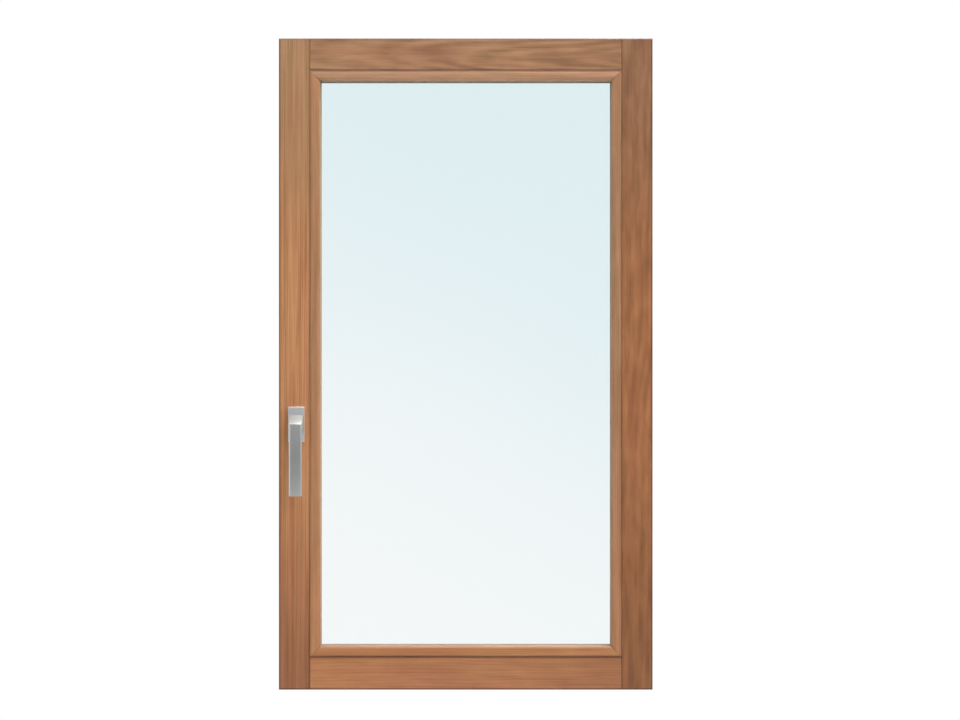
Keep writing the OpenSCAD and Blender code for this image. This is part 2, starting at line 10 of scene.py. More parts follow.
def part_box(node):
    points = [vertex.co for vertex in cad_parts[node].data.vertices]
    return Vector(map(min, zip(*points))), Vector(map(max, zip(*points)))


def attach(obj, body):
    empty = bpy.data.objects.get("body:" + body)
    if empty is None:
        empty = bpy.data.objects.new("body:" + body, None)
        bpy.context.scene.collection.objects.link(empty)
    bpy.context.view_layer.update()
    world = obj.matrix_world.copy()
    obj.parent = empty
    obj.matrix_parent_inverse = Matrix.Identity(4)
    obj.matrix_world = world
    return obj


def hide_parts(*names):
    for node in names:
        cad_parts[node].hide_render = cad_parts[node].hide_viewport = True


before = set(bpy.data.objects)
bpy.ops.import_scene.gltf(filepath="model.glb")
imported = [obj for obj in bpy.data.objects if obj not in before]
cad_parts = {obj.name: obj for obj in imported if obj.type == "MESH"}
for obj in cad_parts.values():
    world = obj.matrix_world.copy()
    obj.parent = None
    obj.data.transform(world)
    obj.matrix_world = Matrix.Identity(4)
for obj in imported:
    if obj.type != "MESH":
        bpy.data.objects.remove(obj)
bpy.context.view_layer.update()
MM = 0.001

SASH_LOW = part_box("stile_handle")[0]
SASH_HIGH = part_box("stile_hinge")[1]
ROOM_FACE = SASH_LOW.y
LEFT = SASH_LOW.x
RIGHT = SASH_HIGH.x
FOOT = SASH_LOW.z
HEAD = SASH_HIGH.z
MIDDLE = Vector(((LEFT + RIGHT) / 2, 0, (FOOT + HEAD) / 2))
SPINDLE = sum(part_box("spindle"), Vector()) / 2
SPINDLE.y = ROOM_FACE
UP = Vector((0, 0, 1))
ROOMWARDS = Vector((0, -1, 0))
RIGHTWARDS = Vector((1, 0, 0))


# ---- shader building blocks
def set_inputs(tree, node, inputs):
    """Puts values, or other nodes' outputs, on a node's inputs."""
    for key, value in inputs.items():
        if isinstance(value, bpy.types.NodeSocket):
            tree.links.new(value, node.inputs[key])
        else:
            node.inputs[key].default_value = value


def add(tree, kind, inputs=None, **settings):
    """Adds one node with its settings and inputs."""
    node = tree.nodes.new(kind)
    for name, value in settings.items():
        setattr(node, name, value)
    set_inputs(tree, node, inputs or {})
    return node


def maths(tree, operation, a, b=0.0):
    return add(tree, "ShaderNodeMath", {0: a, 1: b}, operation=operation).outputs[0]


def split(tree, vector):
    """The X, Y and Z of a vector."""
    return add(tree, "ShaderNodeSeparateXYZ", {0: vector}).outputs


def blend(tree, factor, a, b, how="MIX"):
    """Colour a turning into colour b."""
    node = add(tree, "ShaderNodeMix", {0: factor, 6: a, 7: b}, data_type="RGBA", blend_type=how)
    return node.outputs[2]


def fade(tree, value, start, end, low=0.0, high=1.0):
    """Low before start, high after end, and a smooth change between them."""
    inputs = {"Value": value, "From Min": start, "From Max": end, "To Min": low, "To Max": high}
    return add(tree, "ShaderNodeMapRange", inputs, interpolation_type="SMOOTHSTEP").outputs[0]


def scaled(tree, vector, scale):
    return add(tree, "ShaderNodeMapping", {"Vector": vector, "Scale": scale}).outputs[0]


def clouds(tree, vector, scale=1.0, detail=2.0, roughness=0.5):
    inputs = {"Vector": vector, "Scale": scale, "Detail": detail, "Roughness": roughness}
    return add(tree, "ShaderNodeTexNoise", inputs).outputs["Fac"]


def colour(chart):
    """A linear colour from the three 0-255 values that a paint chart gives."""
    parts = [v / 255 for v in chart]
    return tuple(p / 12.92 if p < 0.04 else ((p + 0.055) / 1.055) ** 2.4 for p in parts) + (1.0,)


def new_material(name):
    """An empty material: its tree, its main shader and its object coordinates."""
    material = bpy.data.materials.new(name)
    material.use_nodes = True
    tree = material.node_tree
    tree.nodes.clear()
    shader = add(tree, "ShaderNodeBsdfPrincipled")
    add(tree, "ShaderNodeOutputMaterial", {"Surface": shader.outputs[0]})
    place = add(tree, "ShaderNodeTexCoord").outputs["Object"]
    return material, tree, shader, place


def relief(tree, height, strength, distance):
    inputs = {"Height": height, "Strength": strength, "Distance": distance}
    return add(tree, "ShaderNodeBump", inputs).outputs[0]


# ---- timber
def growth_rings(tree, board, pith, lean, spacing, wander):
    """Rings round a leaning pith, bent by a slow wander along the board: 0 early, 1 late wood."""
    slow = add(tree, "ShaderNodeTexNoise", {
        "Vector": scaled(tree, board, (9, 9, 2.2)), "Scale": 1.0, "Detail": 2.0})
    centred = add(tree, "ShaderNodeVectorMath", {0: slow.outputs["Color"], 1: (0.5, 0.5, 0.5)},
                  operation="SUBTRACT").outputs[0]
    bent = add(tree, "ShaderNodeVectorMath", {0: centred, "Scale": wander, 1: (0, 0, 0)},
               operation="SCALE").outputs[0]
    moved = add(tree, "ShaderNodeVectorMath", {0: board, 1: bent}, operation="ADD").outputs[0]
    trunk = add(tree, "ShaderNodeMapping", {
        "Vector": moved, "Location": (pith[0], pith[1], 0), "Rotation": (lean[0], lean[1], 0)},
        vector_type="TEXTURE").outputs[0]
    own_factor = 20  # what the wave texture multiplies distances by
    scale = math.tau / (own_factor * spacing)
    return add(tree, "ShaderNodeTexWave", {"Vector": trunk, "Scale": scale},
               wave_type="RINGS", rings_direction="Z", wave_profile="SIN").outputs["Fac"]


def stain_and_shade_lines(tree, board, place, edges):
    """Dark lines beside a board's edges, near the room face only: stain gathered there, and painted
    shade of the grooves and rounded arrises.
    edges lists (axis, place of the edge on it, strength)."""
    full, gone = 1.8 * MM, 3.8 * MM
    skin, core = ROOM_FACE + 3 * MM, ROOM_FACE + 7 * MM
    parts = split(tree, board)
    lines = 0.0
    for axis, at, strength in edges:
        away = maths(tree, "ABSOLUTE", maths(tree, "SUBTRACT", parts[axis], at))
        lines = maths(tree, "MAXIMUM", lines, fade(tree, away, full, gone, strength, 0.0))
    depth = split(tree, place)["Y"]
    return maths(tree, "MULTIPLY", lines, fade(tree, depth, skin, core, 1.0, 0.0))


def end_tones_and_painted_falloff(tree, board, surface, half, low, high):
    """A tone towards the low and the high end of a board: partly the timber's own, partly painted light
    falloff, with the stiles' cooler heads painting bluish light from above.
    """
    along = split(tree, board)["Z"]
    reach = half * 0.85
    surface = blend(tree, fade(tree, along, -half, -half + reach, 1.0, 0.0), surface,
                    low + (1,), "MULTIPLY")
    return blend(tree, fade(tree, along, half - reach, half), surface, high + (1,), "MULTIPLY")


def timber(name, centre, along, pale, dark, figure, ends, edges):
    """Varnished hardwood, pale to dark.  figure is (pith, lean, ring spacing, wander) and the
    shares of rings, streaks and mottle; ends is (half the length, low end's tone, high end's
    tone), partly painted light falloff; edges get stain and painted shade beside them.
    Scales are across, across and along the board."""
    pith, lean, spacing, wander, contrast, straight, mottle = figure
    material, tree, shader, place = new_material(name)
    turn = (0, math.radians(90), 0) if along == "X" else (0, 0, 0)
    board = add(tree, "ShaderNodeMapping", {"Vector": place, "Location": centre, "Rotation": turn},
                vector_type="TEXTURE").outputs[0]
    rings = growth_rings(tree, board, pith, lean, spacing, wander)
    fibre = clouds(tree, scaled(tree, board, (420, 420, 8)), detail=3.0, roughness=0.6)
    streak = clouds(tree, scaled(tree, board, (150, 150, 2.6)), detail=3.0, roughness=0.6)
    cloud = clouds(tree, scaled(tree, board, (60, 60, 14)), detail=2.0)
    pores = clouds(tree, scaled(tree, board, (2600, 2600, 120)), detail=1.0)
    fine, spread = 0.5, 0.42
    tone = maths(tree, "MULTIPLY", rings, contrast)
    for part, share in ((fibre, fine), (streak, straight), (cloud, mottle)):
        tone = maths(tree, "ADD", tone, maths(tree, "MULTIPLY", part, share))
    middle = (fine + contrast + straight + mottle) / 2
    tone = fade(tree, tone, middle - spread, middle + spread)
    surface = blend(tree, tone, colour(pale), colour(dark))
    rosy = fade(tree, clouds(tree, scaled(tree, board, (70, 70, 4.5)), detail=1.0), 0.4, 0.62)
    surface = blend(tree, rosy, surface, (1.03, 0.965, 1.0, 1), "MULTIPLY")
    surface = end_tones_and_painted_falloff(tree, board, surface, *ends)
    open_pore = fade(tree, pores, 0.62, 0.74)
    dirt = maths(tree, "MULTIPLY", open_pore, 0.30)
    surface = blend(tree, dirt, surface, (0.45, 0.38, 0.34, 1), "MULTIPLY")
    # painted shade: the dark edge lines are partly real stain, partly the shade of the grooves and
    # rounded arrises
    stain_and_shade = stain_and_shade_lines(tree, board, place, edges)
    surface = blend(tree, stain_and_shade, surface, (0.22, 0.15, 0.10, 1), "MULTIPLY")
    gloss = fade(tree, fibre, 0.3, 0.7, 0.42, 0.54)
    grain = maths(tree, "SUBTRACT", maths(tree, "MULTIPLY", fibre, 0.5), open_pore)
    set_inputs(tree, shader, {
        "Base Color": surface, "Roughness": gloss, "Specular IOR Level": 0.35,
        "Coat Weight": 0.12, "Coat Roughness": 0.35,
        "Normal": relief(tree, grain, 0.18, 0.25 * MM)})
    return material


# ---- glass, metal, plastic, rubber
def clear_glass():
    """Low-iron float glass, faintly blue, with a painted sky reflection that deepens the blue towards
    the head.
    """
    material, tree, shader, place = new_material("float glass")
    tree.nodes.remove(shader)
    parts = split(tree, place)
    # painted reflection: a bluish sky gradient, stronger towards the head and the right, broken by soft
    # clouds
    slant = maths(tree, "ADD", parts["Z"], maths(tree, "MULTIPLY", parts["X"], 0.4))
    cast = clouds(tree, scaled(tree, place, (2.2, 2.2, 1.6)), detail=0.0)
    height = maths(tree, "ADD", slant, maths(tree, "MULTIPLY", cast, 0.25))
    tint_and_painted_sky = blend(tree, fade(tree, height, FOOT - 0.05, HEAD - 0.05), (0.992, 0.999, 1.0, 1),
                 (0.938, 0.975, 0.982, 1))
    clear = add(tree, "ShaderNodeBsdfTransparent", {"Color": tint_and_painted_sky}).outputs[0]
    mirror = add(tree, "ShaderNodeBsdfGlossy", {"Color": (1, 1, 1, 1), "Roughness": 0.03}).outputs[0]
    facing = add(tree, "ShaderNodeLayerWeight", {"Blend": 0.5}).outputs["Facing"]
    rim = maths(tree, "POWER", facing, 5.0)
    square_on, grazing = 0.018, 0.85
    share = maths(tree, "ADD", maths(tree, "MULTIPLY", rim, grazing), square_on)
    both = add(tree, "ShaderNodeMixShader", {0: share, 1: clear, 2: mirror}).outputs[0]
    output = next(n for n in tree.nodes if n.type == "OUTPUT_MATERIAL")
    tree.links.new(both, output.inputs["Surface"])
    return material


def ground_edge():
    """The ground edge of a pane, where the glass looks green."""
    material, tree, shader, place = new_material("ground glass edge")
    dust = clouds(tree, place, 900.0)
    set_inputs(tree, shader, {
        "Base Color": blend(tree, dust, colour((120, 165, 150)), colour((168, 200, 188))),
        "Roughness": fade(tree, dust, 0.3, 0.7, 0.5, 0.75)})
    return material


def drawn_metal(name, base, shade, along, roughness, metallic=1.0):
    """Metal with fine lines along its drawing or brushing direction."""
    material, tree, shader, place = new_material(name)
    across, down = 2600, 30
    lines = {"X": (down, across, across), "Y": (across, down, across), "Z": (across, across, down)}
    hair = clouds(tree, scaled(tree, place, lines[along]), detail=2.0)
    cloudy = clouds(tree, place, 60.0)
    mixed = maths(tree, "ADD", maths(tree, "MULTIPLY", hair, 0.7), maths(tree, "MULTIPLY", cloudy, 0.3))
    set_inputs(tree, shader, {
        "Base Color": blend(tree, fade(tree, mixed, 0.3, 0.7), colour(shade), colour(base)),
        "Metallic": metallic,
        "Roughness": fade(tree, mixed, 0.3, 0.7, roughness + 0.06, roughness - 0.04),
        "Normal": relief(tree, hair, 0.1, 0.05 * MM)})
    return material


def zinc_plate(name, base, flash):
    """Zinc plate: soft crystal patches under a faint yellow film."""
    material, tree, shader, place = new_material(name)
    patch = add(tree, "ShaderNodeTexVoronoi", {"Vector": place, "Scale": 260.0}).outputs["Color"]
    patch = add(tree, "ShaderNodeSeparateColor", {0: patch}).outputs[0]
    film = clouds(tree, place, 38.0)
    tone = blend(tree, fade(tree, film, 0.4, 0.65), colour(base), colour(flash))
    set_inputs(tree, shader, {
        "Base Color": blend(tree, maths(tree, "MULTIPLY", patch, 0.18), tone, (0.45, 0.46, 0.48, 1)),
        "Metallic": 1.0,
        "Roughness": fade(tree, patch, 0.0, 1.0, 0.30, 0.42),
        "Normal": relief(tree, clouds(tree, place, 1400.0), 0.05, 0.05 * MM)})
    return material


def cast_metal(name, base, shade):
    """Die-cast or sintered metal with a fine sandy skin."""
    material, tree, shader, place = new_material(name)
    sand = clouds(tree, place, 2200.0, 2.0)
    flow = clouds(tree, place, 90.0)
    set_inputs(tree, shader, {
        "Base Color": blend(tree, flow, colour(shade), colour(base)),
        "Metallic": 0.9,
        "Roughness": fade(tree, sand, 0.35, 0.65, 0.45, 0.6),
        "Normal": relief(tree, sand, 0.25, 0.08 * MM)})
    return material


def moulded(name, base, shade, roughness, speck=1500.0, bump=0.15):
    """Moulded plastic or extruded rubber with a fine skin texture."""
    material, tree, shader, place = new_material(name)
    skin = clouds(tree, place, speck, 2.0)
    flow = clouds(tree, place, 45.0)
    set_inputs(tree, shader, {
        "Base Color": blend(tree, fade(tree, flow, 0.3, 0.7), colour(shade), colour(base)),
        "Roughness": fade(tree, skin, 0.35, 0.65, roughness - 0.05, roughness + 0.07),
        "Normal": relief(tree, skin, bump, 0.08 * MM)})
    return material


def beads_of_desiccant():
    """Pale round grains, packed, each painted darker towards its rim as shade between the grains."""
    material, tree, shader, place = new_material("desiccant grains")
    grains = add(tree, "ShaderNodeTexVoronoi", {"Vector": place, "Scale": 900.0}).outputs["Distance"]
    set_inputs(tree, shader, {
        "Base Color": blend(tree, grains, colour((226, 214, 190)), colour((150, 136, 112))),
        "Roughness": fade(tree, grains, 0.0, 0.6, 0.6, 0.85),
        "Normal": relief(tree, maths(tree, "SUBTRACT", 1.0, grains), 0.6, 0.4 * MM)})
    return material


# ---- meshes
def in_scene(name, data):
    """A new object at the origin of the scene."""
    thing = bpy.data.objects.new(name, data)
    bpy.context.scene.collection.objects.link(thing)
    return thing


def new_piece(name, verts, faces, materials, smooth=30):
    """A closed mesh with its faces outwards; edges sharper than smooth degrees stay sharp."""
    mesh = bpy.data.meshes.new(name)
    mesh.from_pydata([tuple(v) for v in verts], [], faces)
    work = bmesh.new()
    work.from_mesh(mesh)
    bmesh.ops.remove_doubles(work, verts=work.verts, dist=1e-7)
    bmesh.ops.recalc_face_normals(work, faces=work.faces)
    work.to_mesh(mesh)
    work.free()
    mesh.shade_smooth()
    mesh.set_sharp_from_angle(angle=math.radians(smooth))
    for material in materials:
        mesh.materials.append(material)
    return in_scene(name, mesh)


def join_shells(*shells):
    """Several (verts, faces) as one."""
    verts = []
    faces = []
    for shell_verts, shell_faces in shells:
        start = len(verts)
        verts += shell_verts
        faces += [[start + i for i in face] for face in shell_faces]
    return verts, faces


def bridged(loops, closed=False):
    """Quads between equal loops of points; the ends are capped, or joined when closed."""
    count = len(loops[0])
    verts = [p for loop in loops for p in loop]
    faces = []
    pairs = len(loops) if closed else len(loops) - 1
    for i in range(pairs):
        a = i * count
        b = (i + 1) % len(loops) * count
        for j in range(count):
            k = (j + 1) % count
            faces.append([a + j, a + k, b + k, b + j])
    if not closed:
        faces.append(list(range(count))[::-1])
        faces.append([len(verts) - count + j for j in range(count)])
    return verts, faces


def turned(profile, foot, axis, closed=False, segments=48):
    """A lathe-turned shell: profile is (radius, distance along the axis from the foot)."""
    axis = Vector(axis).normalized()
    side = axis.orthogonal().normalized()
    turn = math.tau / segments
    loops = []
    for radius, along in profile:
        spokes = [Matrix.Rotation(i * turn, 3, axis) @ side for i in range(segments)]
        loops.append([Vector(foot) + axis * along + spoke * radius for spoke in spokes])
    return bridged(loops, closed)


def arc(centre, radius, start, end, steps):
    """Points on an arc, from start to end degrees."""
    points = []
    for i in range(steps + 1):
        a = math.radians(start + (end - start) * i / steps)
        points.append((centre[0] + radius * math.cos(a), centre[1] + radius * math.sin(a)))
    return points


def rounded_loop(width, height, radius):
    """The outline of a rectangle with round corners, round the origin."""
    points = []
    for sx, sz, start in ((1, 1, 0), (-1, 1, 90), (-1, -1, 180), (1, -1, 270)):
        middle = (sx * (width / 2 - radius), sz * (height / 2 - radius))
        points += arc(middle, radius, start, start + 90, 6)
    return points


def softened(piece, width):
    """Rounds the sharp edges of a piece and makes the result its mesh."""
    bevel = piece.modifiers.new("soft edges", "BEVEL")
    bevel.width = width
    bevel.segments = 2
    bevel.limit_method = "ANGLE"
    bevel.angle_limit = math.radians(30)
    settle(piece)
    piece.data.shade_smooth()
    piece.data.set_sharp_from_angle(angle=math.radians(40))
    return piece


def settle(piece):
    """The piece's modifiers become its plain mesh."""
    seen = bpy.context.evaluated_depsgraph_get()
    seen.update()
    mesh = bpy.data.meshes.new_from_object(piece.evaluated_get(seen))
    piece.modifiers.clear()
    piece.data = mesh


def hand_over(piece, body, finish, *nodes):
    """Puts a finished piece on its body, in place of its frame nodes."""
    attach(piece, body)
    if nodes:
        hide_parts(*nodes)


def spots_of(node, x, y, facing):
    """A (point, facing) at the middle height of each of a node's separate pieces."""
    gap = 5 * MM
    values = sorted(v.co.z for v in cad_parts[node].data.vertices)
    starts = [0] + [i for i in range(1, len(values)) if values[i] - values[i - 1] > gap]
    ends = starts[1:] + [len(values)]
    middles = [(values[a] + values[b - 1]) / 2 for a, b in zip(starts, ends)]
    return [(Vector((x, y, z)), facing) for z in middles]


def dress(node, material):
    """Gives a frame node that keeps its own shape its finish."""
    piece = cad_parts[node]
    for slot in piece.material_slots:
        slot.material = material
    if not piece.material_slots:
        piece.data.materials.append(material)


# ---- repeated pieces
def node_tree(name, inputs):
    """A geometry tree with one geometry output and the inputs (name, kind)."""
    tree = bpy.data.node_groups.new(name, "GeometryNodeTree")
    for label, kind in inputs:
        tree.interface.new_socket(label, in_out="INPUT", socket_type="NodeSocket" + kind)
    tree.interface.new_socket("Geometry", in_out="OUTPUT", socket_type="NodeSocketGeometry")
    entry = tree.nodes.new("NodeGroupInput")
    return tree, entry.outputs


def close_tree(tree, geometry, material):
    """Ends a tree: real geometry with its material."""
    real = add(tree, "GeometryNodeRealizeInstances", {0: geometry}).outputs[0]
    finished = add(tree, "GeometryNodeSetMaterial", {"Geometry": real, "Material": material})
    exit_node = tree.nodes.new("NodeGroupOutput")
    tree.links.new(finished.outputs[0], exit_node.inputs[0])


def grown(name, mesh, tree, values):
    """The plain mesh that a geometry tree makes from a starting mesh and its named inputs."""
    piece = in_scene(name, mesh)
    modifier = piece.modifiers.new("growth", "NODES")
    modifier.node_group = tree
    for item in tree.interface.items_tree:
        if item.in_out == "INPUT" and item.name in values:
            modifier[item.identifier] = values[item.name]
    settle(piece)
    return piece


def placing_tree():
    """Sets one fixing on each point, turned to face along the point's own direction."""
    tree, given = node_tree("fixing on each point", (
        ("Points", "Geometry"), ("Fixing", "Object"), ("Size", "Float"), ("Seed", "Int"),
        ("Finish", "Material")))
    facing = add(tree, "GeometryNodeInputNamedAttribute", {"Name": "facing"},
                 data_type="FLOAT_VECTOR").outputs[0]
    upright = add(tree, "FunctionNodeAlignRotationToVector", {"Vector": facing}, axis="Z").outputs[0]
    angle = add(tree, "FunctionNodeRandomValue", {
        "Min": (0.0, 0.0, 0.0), "Max": (0.0, 0.0, math.tau), "Seed": given["Seed"]},
        data_type="FLOAT_VECTOR").outputs[0]
    spin = add(tree, "FunctionNodeEulerToRotation", {0: angle}).outputs[0]
    turned_to = add(tree, "FunctionNodeRotateRotation", {0: upright, 1: spin},
                    rotation_space="LOCAL").outputs[0]
    shape = add(tree, "GeometryNodeObjectInfo", {"Object": given["Fixing"]}).outputs["Geometry"]
    placed = add(tree, "GeometryNodeInstanceOnPoints", {
        "Points": given["Points"], "Instance": shape, "Rotation": turned_to,
        "Scale": given["Size"]}).outputs[0]
    close_tree(tree, placed, given["Finish"])
    return tree


def place_fixings(name, tree, fixing, spots, finish, seed, node, body="sash"):
    """One piece with a copy of the fixing at each (point, facing), in place of its node."""
    mesh = bpy.data.meshes.new(name)
    mesh.from_pydata([tuple(point) for point, _ in spots], [], [])
    facing = mesh.attributes.new("facing", "FLOAT_VECTOR", "POINT")
    for i, (_, direction) in enumerate(spots):
        facing.data[i].vector = direction
    values = {"Fixing": fixing, "Size": 1.0, "Seed": seed, "Finish": finish}
    piece = grown(name, mesh, tree, values)
    bpy.data.objects.remove(fixing)
    hand_over(piece, body, "zinc_steel", node)


def recess_outline(arm, width):
    """A cross, as 24 (angle, distance) round its middle."""
    corner = math.atan2(width, arm)
    quarter = [0, corner, (corner + math.pi / 4) / 2, math.pi / 4,
               math.pi / 2 - (corner + math.pi / 4) / 2, math.pi / 2 - corner]
    outline = []
    for turn in range(4):
        for a in quarter:
            x, y = abs(math.cos(a)), abs(math.sin(a))
            reach = max(min(arm / max(x, 1e-9), width / max(y, 1e-9)),
                        min(width / max(x, 1e-9), arm / max(y, 1e-9)))
            outline.append((a + turn * math.pi / 2, reach))
    return outline


def screw(name, head, shank, length, point, head_depth, pitch=1.6 * MM, thread_from=4 * MM):
    """A countersunk cross-recess screw.  Its head's face is at the origin; it points down."""
    core, ridge = 0.76, 0.24
    rows_a_turn = 4
    cross = recess_outline(arm=head * 0.55, width=head * 0.13)
    angles = [a for a, _ in cross]

    def ring(radius, z):
        return [(radius * math.cos(a), radius * math.sin(a), z) for a in angles]

    def recess(share, z):
        return [(share * d * math.cos(a), share * d * math.sin(a), z) for a, d in cross]

    loops = [recess(0.5, -head_depth * 0.8), recess(0.94, -0.15 * MM), recess(1.0, 0),
             ring(head - 0.2 * MM, 0), ring(head, -0.12 * MM), ring(head, -0.2 * MM),
             ring(shank, -head_depth), ring(shank, -thread_from)]
    rows = int((length - point - thread_from) / (pitch / rows_a_turn))
    for row in range(1, rows + 1):
        z = -thread_from - row * pitch / rows_a_turn
        loop = []
        for a in angles:
            phase = (-z / pitch + a / math.tau) % 1.0
            radius = shank * (core + ridge * (1 - abs(2 * phase - 1)) ** 2)
            loop.append((radius * math.cos(a), radius * math.sin(a), z))
        loops.append(loop)
    if point > 0:
        loops.append(ring(shank * 0.45, -length + point * 0.4))
        loops.append(ring(shank * 0.08, -length))
    else:
        loops.append(ring(shank * 0.7, -length))
    return new_piece(name, *bridged(loops), [], 35)


# ---- timber finishes
def bead_boxes():
    """The low and high corners of the left, right, bottom and top bead."""
    return [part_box("bead_" + side) for side in ("left", "right", "bottom", "top")]


def dress_timber():
    """Each stile and rail has a board of its own, with its own figure and tone, end tones that are
    partly painted light falloff, and edges with stain and painted shade.
    """
    tall, wide = (HEAD - FOOT) / 2, (RIGHT - LEFT) / 2
    degree = math.radians(1)
    left, right, bottom, top = bead_boxes()
    # ends: each board's end tones, partly its own and partly painted light falloff; sides and tips:
    # strengths of the stain and painted shade lines along the long edges and the ends
    boards = (
        ("stile_handle", "Z", (LEFT, left[0].x), (205, 150, 104), (158, 106, 66),
         ((0.42, 0.20), (0.2 * degree, 0.5 * degree), 3.6 * MM, 10 * MM, 0.12, 1.1, 0.2),
         (tall, (0.50, 0.42, 0.41), (0.74, 0.88, 0.98)), (0.7, 0.3), (0.95, 0.7)),
        ("stile_hinge", "Z", (right[1].x, RIGHT), (170, 116, 75), (128, 81, 50),
         ((-0.05, 0.075), (1.2 * degree, 0.8 * degree), 9 * MM, 40 * MM, 0.12, 0.2, 0.9),
         (tall, (0.60, 0.57, 0.52), (0.78, 0.94, 1.16)), (0.12, 0.6), (0.95, 0.7)),
        ("rail_top", "X", (top[1].z, HEAD), (175, 133, 99), (130, 93, 65),
         ((0.004, 0.05), (3.2 * degree, 0.6 * degree), 7.0 * MM, 30 * MM, 0.2, 0.25, 0.75),
         (wide, (1.10, 1.12, 1.10), (0.88, 0.88, 0.86)), (0.8, 0.28), ()),
        ("rail_bottom", "X", (FOOT, bottom[0].z), (170, 117, 78), (131, 84, 52),
         ((0.20, 0.12), (0.9 * degree, 0.4 * degree), 5 * MM, 24 * MM, 0.1, 0.4, 0.45),
         (wide, (1.12, 1.13, 1.05), (0.81, 0.79, 0.77)), (0.75, 0.95), ()))
    for node, along, face, pale, dark, figure, ends, sides, tips in boards:
        across = sum(face) / 2
        half = (face[1] - face[0]) / 2
        centre = (across, ROOM_FACE, MIDDLE.z) if along == "Z" else (MIDDLE.x, ROOM_FACE, across)
        edges = [("X", -half, sides[0]), ("X", half, sides[1])]
        edges += [("Z", end, strength) for end, strength in zip((-tall, tall), tips)]
        dress(node, timber(node.replace("_", " ") + " timber", centre, along, pale, dark, figure,
                           ends, edges))


# ---- glazing beads
def bead_profile(width, depth):
    """Section of a bead as (across from the timber, depth from the room face)."""
    curve, crown = 8 * MM, 0.35 * MM
    ease, back = 1.8 * MM, 0.4 * MM
    points = [(back, depth), (0, depth - back)]
    points += arc((ease, ease), ease, 180, 270, 5)
    flat_end = width - curve
    points += [((ease + flat_end) / 2, 0.25 * crown)]
    points += [(x, max(y, 0) + crown * (1 - y / curve))
               for x, y in arc((flat_end, curve), curve, 270, 360, 12)]
    points += [(width, depth - back), (width - back, depth)]
    return points


def bead(name, start, end, inwards, finish):
    """One mitred bead along the timber's edge from start to end; inwards is towards the glass."""
    low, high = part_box(name)
    width = min(high.x - low.x, high.z - low.z)
    profile = bead_profile(width, high.y - low.y)
    run = (end - start).normalized()
    length = (end - start).length
    backwards = Vector((0, 1, 0))
    gap = 0.12 * MM
    ease = 0.35 * MM
    middle = (width / 2, (high.y - low.y) / 2)

    def station(shrink, inset, at_end):
        loop = []
        for u, d in profile:
            u2 = u + (ease if u < middle[0] else -ease) * shrink
            d2 = d + (ease if d < middle[1] else -ease) * shrink
            along = u + inset
            along = length - along if at_end else along
            loop.append(start + run * along + inwards * u2 + backwards * d2)
        return loop

    loops = [station(1, gap, False), station(0, gap + ease, False)]
    loops += [station(0, gap + ease, True), station(1, gap, True)]
    piece = new_piece(name + "_wood", *bridged(loops), [finish], 25)
    hand_over(piece, "sash", "timber_bead", name)


def glazing_beads():
    """Four beads, mitred at the corners, each from a strip of its own."""
    left, right, _, _ = bead_boxes()
    x0, x1, z0, z1 = left[0].x, right[1].x, left[0].z, left[1].z
    y = ROOM_FACE
    corners = {"bl": Vector((x0, y, z0)), "tl": Vector((x0, y, z1)),
               "br": Vector((x1, y, z0)), "tr": Vector((x1, y, z1))}
    middle = (z0 + z1) / 2
    centre = (x0 + x1) / 2
    straight = ((0.3, 0.15), (0.003, 0.006), 3.2 * MM, 8 * MM, 0.1, 0.7, 0.4)
    even = ((1.0, 1.0, 1.0), (1.0, 1.0, 1.0))
    darker_foot = ((0.93, 0.82, 0.75), (1.0, 1.0, 1.0))
    # the second last column is the strength of the stain and painted shade line along each bead's
    # groove; the upright beads are darker towards their feet
    strips = (
        ("left", "bl", "tl", RIGHTWARDS, (x0, y, middle), "Z",
         (183, 138, 100), (146, 103, 70), 0.15, darker_foot),
        ("right", "br", "tr", -RIGHTWARDS, (x1, y, middle), "Z",
         (175, 135, 100), (134, 96, 64), 0.12, darker_foot),
        ("bottom", "bl", "br", UP, (centre, y, z0), "X",
         (169, 120, 77), (138, 90, 54), 0.45, even),
        ("top", "tl", "tr", -UP, (centre, y, z1), "X",
         (196, 155, 120), (157, 115, 84), 0.6, even))
    for side, a, b, inwards, centred, along, pale, dark, stain_and_shade, tints in strips:
        half = (z1 - z0 if along == "Z" else x1 - x0) / 2
        finish = timber("bead " + side + " timber", centred, along, pale, dark, straight,
                        (half,) + tints, [("X", 0.0, stain_and_shade)])
        bead("bead_" + side, corners[a], corners[b], inwards, finish)


# ---- glazing unit
def pane(name, glass, edge):
    """A float pane with its arrises ground off."""
    low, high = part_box(name)
    grind = 0.6 * MM
    centre = (low + high) / 2

    def outline(shrink, y):
        return [Vector((centre.x + sx * (high.x - low.x - 2 * shrink) / 2, y,
                        centre.z + sz * (high.z - low.z - 2 * shrink) / 2))
                for sx, sz in ((-1, -1), (1, -1), (1, 1), (-1, 1))]

    loops = [outline(grind, low.y), outline(0, low.y + grind), outline(0, high.y - grind),
             outline(grind, high.y)]
    piece = new_piece(name + "_glass", *bridged(loops), [glass, edge], 20)
    for face in piece.data.polygons:
        face.material_index = 0 if abs(face.normal.y) > 0.9 else 1
    hand_over(piece, "sash", "pane_glass", name)


